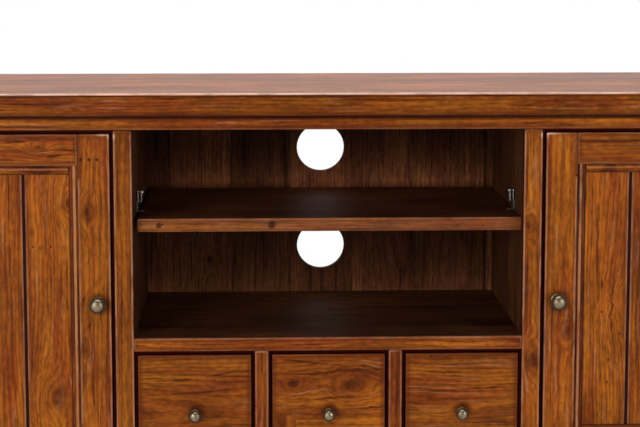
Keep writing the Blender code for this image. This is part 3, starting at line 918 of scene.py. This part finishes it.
def add_holed_block(bm, low, high, centre):
    """Part of a back board with a round cable hole through it."""
    rings = []
    for squared in (True, False):
        turn = Matrix.Translation((centre.x, low.y, centre.z)) @ Matrix.Rotation(math.pi / 2, 4, "X")
        ring = bmesh.ops.create_circle(bm, segments=64, radius=HOLE_RADIUS, matrix=turn)["verts"]
        if squared:
            for vert in ring:
                out, up = vert.co.x - centre.x, vert.co.z - centre.z
                most = max(abs(out), abs(up))
                vert.co.x = centre.x + (high.x - low.x) / 2 * out / most
                vert.co.z = (low.z + high.z) / 2 + (high.z - low.z) / 2 * up / most
        rings += ring
    edges = [edge for edge in open_edges(bm) if edge.verts[0] in rings]
    front = bmesh.ops.bridge_loops(bm, edges=edges)["faces"]
    grown = bmesh.ops.extrude_face_region(bm, geom=front)["geom"]
    moved = [item for item in grown if isinstance(item, bmesh.types.BMVert)]
    bmesh.ops.translate(bm, vec=(0, high.y - low.y, 0), verts=moved)


def clamp(value, least=0.0):
    return min(1.0, max(least, value))


def back_tone(place, shares=EVEN_SHARES):
    """Tone of the back at a place, with painted light: painted shade under the rail and the shelf, a painted
    shadow just over the shelf, and lighter low down and to the right.
    """
    if place.y > (BACK_LOW.y + BACK_HIGH.y) / 2 or abs(place.x) > BAY_REACH:
        return BACK_LIFT
    # painted light: the back is lighter towards the right
    right = clamp(0.5 + place.x / BAY_WIDTH)
    if place.z > (SHELF_UNDER + SHELF_TOP) / 2:
        under, over = SHELF_TOP, RAIL_UNDER - PAINTED_SHADE_UNDER_RAIL
        # painted shadow along the foot of the upper bay, just over the shelf
        share = shares[0] * clamp(FOOT_SHADOW_TONE + (place.z - under) / FOOT_SHADOW, FOOT_SHADOW_TONE)
        least, more = UPPER_PAINTED_LIGHT
    else:
        under, over = DECK_TOP, SHELF_UNDER - PAINTED_SHADE_UNDER_SHELF
        share = shares[1]
        least, more = LOWER_PAINTED_LIGHT
    # painted shade: darkest just under the rail or the shelf, lighter low down
    drop = clamp((over - place.z) / (over - under))
    return BACK_LIFT * share * (PAINTED_SHADE_TONE + (least + more * right) * drop ** 2)


def add_back_board(bm, count):
    start = BACK_LOW.x + count * BACK_WIDTH
    end = BACK_LOW.x + (count + 1) * BACK_WIDTH
    shares = BOARD_SHARES.get(count, EVEN_SHARES)
    add_board(bm, (start, BACK_LOW.y, BACK_LOW.z), (end, BACK_HIGH.y, BACK_HIGH.z), Z, "back" + str(count),
              ease=0.0009, step=0.0075, edge_box=(BACK_LOW, BACK_HIGH),
              lift=lambda place: back_tone(place, shares))


def add_middle_board(bm):
    """The back's middle board, in blocks over each other, of which every second one has a cable hole."""
    low = Vector((-BACK_WIDTH / 2, BACK_LOW.y, BACK_LOW.z))
    high = Vector((BACK_WIDTH / 2, BACK_HIGH.y, BACK_HIGH.z))
    block_half = HOLE_RADIUS + HOLE_SURROUND
    levels = [low.z]
    for centre in ((DECK_TOP + SHELF_UNDER) / 2, (SHELF_TOP + RAIL_UNDER) / 2):
        levels += [centre - block_half, centre + block_half]
    levels.append(high.z)
    for count, (under, over) in enumerate(zip(levels, levels[1:])):
        block_low, block_high = Vector((low.x, low.y, under)), Vector((high.x, high.y, over))
        if count % 2:
            add_holed_block(bm, block_low, block_high, Vector((0, 0, (under + over) / 2)))
        else:
            add_block(bm, block_low, block_high)
    mark_grain(bm, open_verts(bm), low, high, Z, "middle", edge_box=(BACK_LOW, BACK_HIGH), lift=back_tone)


def make_back():
    """Upright boards, the middle one with the two cable holes."""
    bm = fresh_mesh()
    for count in range(BACK_BOARDS):
        if count != BACK_BOARDS // 2:
            add_back_board(bm, count)
    add_middle_board(bm)
    place_piece("pine_back_panel", bm, "dark_pine", "carcass", ["back_panel"])


def make_batten():
    """A thin batten in the right back corner of the bay, its face painted lighter in the lower bay, and a
    dark strip along it that is its painted shadow.
    """
    back = BACK_LOW.y
    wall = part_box("partition_right")[0].x
    inner = wall - BATTEN
    bm = fresh_mesh()
    for under, over in ((DECK_TOP, SHELF_UNDER), (SHELF_TOP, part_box("top_slab")[0].z)):
        add_board(bm, (inner, back - BATTEN_THICK, under), (wall, back, over), Z, "batten", ease=0.0008,
                  lift=lambda place: back_tone(place, BATTEN_LIGHT_SHARES))
        # a thin dark strip beside the batten: its painted shadow on the back
        shadow_low = (inner - BATTEN_SHADOW, back - BATTEN_SHADOW_THICK, under)
        add_board(bm, shadow_low, (inner, back, over), Z, "batten_shadow", ease=0.0003, wear=0.0,
                  lift=lambda place: SHADOW_SHARE * back_tone(place))
    place_piece("batten_back_panel", bm, "dark_pine", "carcass")


def make_nails():
    """Two nails at each end of each back board, and two into the deck."""
    deck_low, deck_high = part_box("deck_board")
    bm = fresh_mesh()
    for count in range(BACK_BOARDS):
        for level in (BACK_LOW.z + NAIL_INSET, (deck_low.z + deck_high.z) / 2, BACK_HIGH.z - NAIL_INSET):
            for share in NAIL_SHARES:
                place = (BACK_LOW.x + (count + share) * BACK_WIDTH, BACK_HIGH.y, level)
                add_screw(bm, place, (0, 1, 0), NAIL_RADIUS)
    place_piece("nails_back_panel", bm, "aged_brass", "carcass", crease=40)


def make_inner_shelves():
    for word, _ in SIDES:
        node = "cabinet_shelf_" + word
        low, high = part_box(node)
        inset = Vector((HOUSING, 0, 0))
        bm = fresh_mesh()
        add_board(bm, low + inset, high - inset, X, node)
        place_piece("pine_" + node, bm, "dark_pine", "carcass", [node])


def make_shelf_bracket(word, side):
    """A clip: a foot, a wall plate and two upright cheeks on bridges, with a domed pin at the top."""
    node = "shelf_bracket_" + word
    low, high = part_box(node)
    wall = high.x if side > 0 else low.x
    bm = fresh_mesh()

    def plate(near, far, front, back, under, over, name, ease=0.0003):
        places = sorted((wall - side * near, wall - side * far))
        add_board(bm, (places[0], front, under), (places[1], back, over), Z, node + name, ease)

    sheet = 0.0012
    wall_front, wall_lap = low.y + 0.004, 0.003
    foot_front, foot_reach = low.y + 0.007, 0.0125
    cheek_thick = 0.0016
    near_cheek, far_cheek = 0.0018, 0.0076
    cheek_under, cheek_over = low.z + 0.0155, high.z - 0.001
    cheek_back = high.y - 0.002
    outer_face = far_cheek + cheek_thick
    bridge_front = cheek_back - 0.002
    bridge_height = 0.0018
    bridge_levels = (cheek_under + 0.0005, high.z - 0.0042)
    plate(0.0, sheet, wall_front, high.y, low.z, cheek_under + wall_lap, "wall")
    plate(0.0, foot_reach, foot_front, high.y, low.z, low.z + sheet, "foot")
    for near in (near_cheek, far_cheek):
        plate(near, near + cheek_thick, low.y, cheek_back, cheek_under, cheek_over, "cheek", ease=0.0006)
    for level in bridge_levels:
        plate(0.0, outer_face, bridge_front, cheek_back, level, level + bridge_height, "bridge")
    # painted shade on the clip: darkest below, a little less dark above
    set_rub(bm, bm.verts, -1.0)
    set_rub(bm, [vert for vert in bm.verts if vert.co.z > cheek_under - 0.001], -0.6)
    pin = [(0.0, 0.0, 0.0), (0.0030, 0.0, 0.0), (0.0030, 0.0010, 0.2), (0.0024, 0.0019, 0.2),
           (0.0013, 0.0025, 0.2), (0.0, 0.0027, 0.2)]
    turn_profile(bm, pin, (wall - side * outer_face, low.y + 0.0027, high.z - 0.0030), (0, -1, 0), 16)
    screw_seat = (wall - side * sheet, (low.y + high.y) / 2 + 0.002, low.z + 0.006)
    add_screw(bm, screw_seat, (-side, 0, 0), SCREW_RADIUS)
    place_piece("plated_" + node, bm, "plated_steel", "carcass", [node], crease=40)


def make_reveal(word, low, high, sides):
    """Strips in the gap round a door or drawer front, set back from the face, painted nearly black as the
    gap's shade.
    """
    front, back = low.y + LINER_SETBACK, high.y - LINER_SETBACK / 2
    spans = {"left": (low.x - REVEAL, low.x - LINER_CLEAR, low.z - REVEAL, high.z + REVEAL),
             "right": (high.x + LINER_CLEAR, high.x + REVEAL, low.z - REVEAL, high.z + REVEAL),
             "top": (low.x - LINER_CLEAR, high.x + LINER_CLEAR, high.z + LINER_CLEAR, high.z + REVEAL),
             "bottom": (low.x - LINER_CLEAR, high.x + LINER_CLEAR, low.z - REVEAL, low.z - LINER_CLEAR)}
    bm = fresh_mesh()
    for side in sides:
        near, far, under, over = spans[side]
        along = X if side in ("top", "bottom") else Z
        strip_low, strip_high = Vector((near, front, under)), Vector((far, back, over))
        add_board(bm, strip_low, strip_high, along, word + side, 0.0006, shut=(1, 1),
                  edge_box=(strip_low - FAR, strip_high + FAR))
    place_piece("reveal_" + word, bm, "dark_pine", "carcass")


def make_reveals():
    for word, side in SIDES:
        hinge_box, lock_box = (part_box(f"door_{word}_{name}_stile") for name in ("hinge", "lock"))
        first, last = (hinge_box, lock_box) if side < 0 else (lock_box, hinge_box)
        make_reveal("door_" + word, first[0], last[1], ("top", "bottom", "right" if side < 0 else "left"))
    for word in ("left", "centre", "right"):
        make_reveal("drawer_" + word, *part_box(f"drawer_{word}_front"), ("left", "right", "top"))


# Doors

def sticking_outline():
    """The bead along a frame member's inner edge: distance out, depth from the face, pale level, which
    paints a highlight on the bead's crown.
    """
    slot = STICKING - TONGUE - FIT
    slot_front = PANEL_SETBACK - FIT
    slot_back = PANEL_SETBACK + PANEL_THICK + FIT
    centre = 0.0060
    half = 0.0032
    crown = 0.0006
    base = 0.0038
    turns = [math.pi * step / 12 for step in range(13)]
    # painted highlight on the bead's crown; the quirks beside it are darker
    bead = [(centre - half * math.cos(turn), base - (base - crown) * math.sin(turn),
             max(-0.5, 2.8 * math.sin(turn) - 1.65)) for turn in turns]
    return ([(0.0, base, -0.48), (0.0026, base, -0.48)] + bead
            + [(0.0096, 0.0044, -0.48), (0.0118, 0.0046, -0.40), (STICKING, 0.0050, -0.85),
               (STICKING, slot_front, -1.0), (slot, slot_front, -1.0), (slot, slot_back, 0.0),
               (STICKING, slot_back, 0.0), (STICKING, DOOR_THICK, 0.0), (0.0, DOOR_THICK, 0.0)])


def make_frame_member(node, body, along, inward):
    """A stile or rail: a flat board and the bead that runs along its inner edge."""
    low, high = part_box(node)
    cross = Z if along == X else X
    flat_low, flat_high = low.copy(), high.copy()
    if inward > 0:
        seam = high[cross] - STICKING
        flat_high[cross] = seam
    else:
        seam = low[cross] + STICKING
        flat_low[cross] = seam
    bm = fresh_mesh()
    flat = high[cross] - low[cross] - STICKING
    inset = STICKING if along == X else flat + FIT

    def handled(place):
        """Wear and painted highlight on a stile's free edges, with bare corners; rails and the edges at
        joints keep sharper.
        """
        if along == X:
            return RAIL_WEAR
        from_end = min(place.z - low.z, high.z - place.z)
        if abs(place.x - seam) < flat / 2:
            return JOINT_WEAR if from_end < flat + STILE_JOINT_REACH else STILE_WEAR
        return CORNER_WEAR if from_end < CORNER_REACH else STILE_WEAR

    add_board(bm, flat_low, flat_high, along, node, shut=(1, 1), wear=handled, step=0.010)
    start, end = low[along] + inset, high[along] - inset
    share = RAIL_BEAD_HIGHLIGHT_SHARE if along == X else 1.0
    outline = [(seam + inward * out, low.y + depth, rub * (share if rub > 0 else 1.0))
               for out, depth, rub in sticking_outline()]
    add_prism(bm, outline, (cross, Y), along, start, end)
    cut_lengths(bm, along, end - start, BEAD_STEP)
    mark_grain(bm, open_verts(bm), low, high, along, node + "_bead", edge_box=(low - FAR, high + FAR))
    place_piece("pine_" + node, bm, "stained_pine", body, [node])


def make_panel(node, body):
    """Upright boards with dark grooves between them."""
    low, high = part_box(node)
    sight_low, sight_high = low.x + TONGUE, high.x - TONGUE
    last = PANEL_BOARDS - 1
    width = (sight_high - sight_low - last * GROOVE) / PANEL_BOARDS
    bm = fresh_mesh()
    for count in range(PANEL_BOARDS):
        start = sight_low + count * (width + GROOVE)
        board_low = Vector((start if count else low.x, low.y, low.z))
        board_high = Vector((start + width if count < last else high.x, high.y, high.z))
        add_board(bm, board_low, board_high, Z, node + str(count), ease=0.0011, shut=(1, 1), wear=0.6)
        if count < last:
            tongue_low = (start + width - TONGUE_LAP, low.y + GROOVE_DEPTH, low.z)
            tongue_high = (start + width + GROOVE + TONGUE_LAP, high.y - TONGUE_SETBACK, high.z)
            tongue = add_board(bm, tongue_low, tongue_high, Z, node + "groove" + str(count), ease=0.0002)
            set_rub(bm, tongue, -1.0)
    place_piece("pine_" + node, bm, "stained_pine", body, [node])


def make_knob(node, body, face):
    """A turned knob: foot ring, neck, rim and dome."""
    low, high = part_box(node)
    head = (high.x - low.x) / 2
    reach = face - low.y
    crown = 0.46 * head
    dome_base = reach - crown
    dome = 0.79 * head
    arc = [(dome * math.cos(angle), dome_base + crown * math.sin(angle), 0.2 * math.sin(angle))
           for angle in (math.radians(8 + 10.2 * step) for step in range(9))]
    foot = 0.8 * head
    neck = 0.36 * head
    profile = ([(0.0, FIT, -0.5), (foot, FIT, -0.6), (foot, 0.0013, -0.2), (0.94 * foot, 0.0021, -0.1),
                (0.80 * foot, 0.0024, -0.6), (0.55 * foot, 0.0034, -0.8), (neck, 0.0054, -0.9),
                (neck, dome_base - 0.0062, -0.9), (1.25 * neck, dome_base - 0.0046, -0.9),
                (0.80 * head, dome_base - 0.0030, -1.0), (0.96 * head, dome_base - 0.0022, -0.9),
                (head, dome_base - 0.0015, -0.85), (0.985 * head, dome_base - 0.0006, -0.9),
                (0.90 * head, dome_base - 0.0002, -1.0), (0.82 * head, dome_base - 0.0004, -1.0)]
               + arc + [(0.0, reach, 0.2)])
    bm = fresh_mesh()
    turn_profile(bm, profile, ((low.x + high.x) / 2, face, (low.z + high.z) / 2), (0, -1, 0), 48)
    place_piece("turned_" + node, bm, "aged_brass", body, [node], crease=42)


def make_hinge_leaf(node, body, axis, toward, knuckles, finials):
    """One leaf of a butt hinge: plate, its knuckles round the pin, and three screws."""
    low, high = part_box(node)
    radius = (high.x - low.x) / 2
    front = axis.y + radius + 2 * FIT
    near, far = sorted((axis.x + toward * LEAF_CLEAR, axis.x + toward * (LEAF_CLEAR + LEAF_THICK)))
    bm = fresh_mesh()
    add_board(bm, (near, front, low.z), (far, high.y, high.z), Z, node, ease=0.0003)
    for under, over in knuckles:
        add_board(bm, (near, axis.y, under), (far, front + 0.0004, over), Z, node + "curl", ease=0.0002)
        length = over - under
        barrel = [(0.0, 0.0, -0.3), (radius - 0.0005, 0.0, -0.3), (radius, 0.0006, 0.1),
                  (radius, length - 0.0006, 0.1), (radius - 0.0005, length, -0.3), (0.0, length, -0.3)]
        turn_profile(bm, barrel, (axis.x, axis.y, under), (0, 0, 1), 28)
    finial = [(0.0, -0.0004, -0.5), (0.0024, -0.0004, -0.5), (0.0026, 0.0006, -0.2), (0.0014, 0.0014, -0.8),
              (0.0023, 0.0028, 0.1), (0.0021, 0.0040, 0.1), (0.0012, 0.0050, 0.1), (0.0, 0.0053, 0.1)]
    for level, way in finials:
        turn_profile(bm, finial, (axis.x, axis.y, level), (0, 0, way), 24)
    middle = Vector((axis.x + toward * LEAF_CLEAR, (front + high.y) / 2, (low.z + high.z) / 2))
    for step in (-1, 0, 1):
        seat = middle + Vector((0, SCREW_STAGGER * (1 - abs(step)), SCREW_PITCH * step))
        add_screw(bm, seat, (-toward, 0, 0), SCREW_RADIUS)
    place_piece("cast_" + node, bm, "aged_brass", body, [node], crease=40)


def make_hinges(word, side):
    """Two butt hinges: the frame leaf holds the outer knuckles and the pin's finials."""
    joint = next(joint for joint in frame["joints"] if joint["name"] == word + "_door_hinge")
    axis = Vector(joint["pos_m"])
    half_gap = FIT / 2
    for level in ("upper", "lower"):
        place = word + "_" + level
        low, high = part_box("hinge_frame_leaf_" + place)
        third = (high.z - low.z) / 3
        lower_seam, upper_seam = low.z + third, high.z - third
        outer_knuckles = ((low.z, lower_seam - half_gap), (upper_seam + half_gap, high.z))
        inner_knuckle = ((lower_seam + half_gap, upper_seam - half_gap),)
        finials = ((low.z, -1), (high.z, 1))
        make_hinge_leaf("hinge_frame_leaf_" + place, "carcass", axis, side, outer_knuckles, finials)
        make_hinge_leaf("hinge_door_leaf_" + place, "door_" + word, axis, -side, inner_knuckle, ())


def make_catch(word):
    """A magnetic catch under the cabinet shelf's front, and its strike plate on the door."""
    shelf_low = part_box("cabinet_shelf_" + word)[0]
    stile_low, stile_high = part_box(f"door_{word}_lock_stile")
    door_back = stile_high.y
    middle = Vector(((stile_low.x + stile_high.x) / 2, 0, shelf_low.z - CATCH_DROP))
    parts = (("catch_", "carcass", door_back + 0.0018, shelf_low.y + 0.018, 0.015, 0.0058),
             ("strike_", "door_" + word, door_back, door_back + 0.0010, 0.013, 0.0055))
    for name, body, front, back, half_width, half_height in parts:
        bm = fresh_mesh()
        add_board(bm, (middle.x - half_width, front, middle.z - half_height),
                  (middle.x + half_width, back, middle.z + half_height), X, name + word, ease=0.0004)
        for step in (-1, 1):
            across = middle.x + CATCH_SCREW_SHARE * half_width * step
            if name == "strike_":
                add_screw(bm, (across, back, middle.z), (0, 1, 0), NAIL_RADIUS)
            else:
                seat = (across, back - CATCH_SCREW_INSET, middle.z - half_height)
                add_screw(bm, seat, (0, 0, -1), CATCH_SCREW_RADIUS)
        place_piece(name + word, bm, "plated_steel", body, crease=40)


def make_door(word, side):
    body = "door_" + word
    name = body + "_"
    make_frame_member(name + "hinge_stile", body, Z, -side)
    make_frame_member(name + "lock_stile", body, Z, side)
    make_frame_member(name + "top_rail", body, X, -1)
    make_frame_member(name + "bottom_rail", body, X, 1)
    make_panel(name + "panel", body)
    make_knob(name + "knob", body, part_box(name + "lock_stile")[0].y)
    make_hinges(word, side)
    make_catch(word)


# Drawers

def make_drawer(word):
    body = "drawer_" + word
    name = body + "_"
    low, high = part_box(name + "front")
    bm = fresh_mesh()
    add_board(bm, low, high, X, name + "front", ease=0.0014, heart=(0.01, 0.035), shut=(1, 1), wear=0.05)
    if word == "centre":
        patch_low = low + Vector((PATCH_LEFT, -PATCH_PROUD, PATCH_UNDER))
        patch_high = low + Vector((PATCH_RIGHT, PATCH_DEPTH, PATCH_OVER))
        add_board(bm, patch_low, patch_high, Z, "repair_patch", ease=0.0005, wear=0.0)
    place_piece("pine_" + name + "front", bm, "stained_pine", body, [name + "front"])
    for part, along in (("left_side", Y), ("right_side", Y), ("back", X)):
        dress_board(name + part, along, "raw_pine", body, ease=0.0008)
    dress_board(name + "bottom", X, "raw_pine", body, ease=0.0004)
    make_knob(name + "knob", body, low.y)


make_camera()
make_studio()
make_carcass()
make_lipped_board("deck_board", front_lift=0.54, back_lift=1.70, paleness=0.0)
make_lipped_board("centre_shelf", front_lift=1.05, back_lift=1.55, paleness=0.28)
make_back()
make_batten()
make_nails()
make_inner_shelves()
make_reveals()
for hand, hand_side in SIDES:
    make_shelf_bracket(hand, hand_side)
    make_door(hand, hand_side)
for hand in ("left", "centre", "right"):
    make_drawer(hand)

scene.view_settings.view_transform = "Standard"
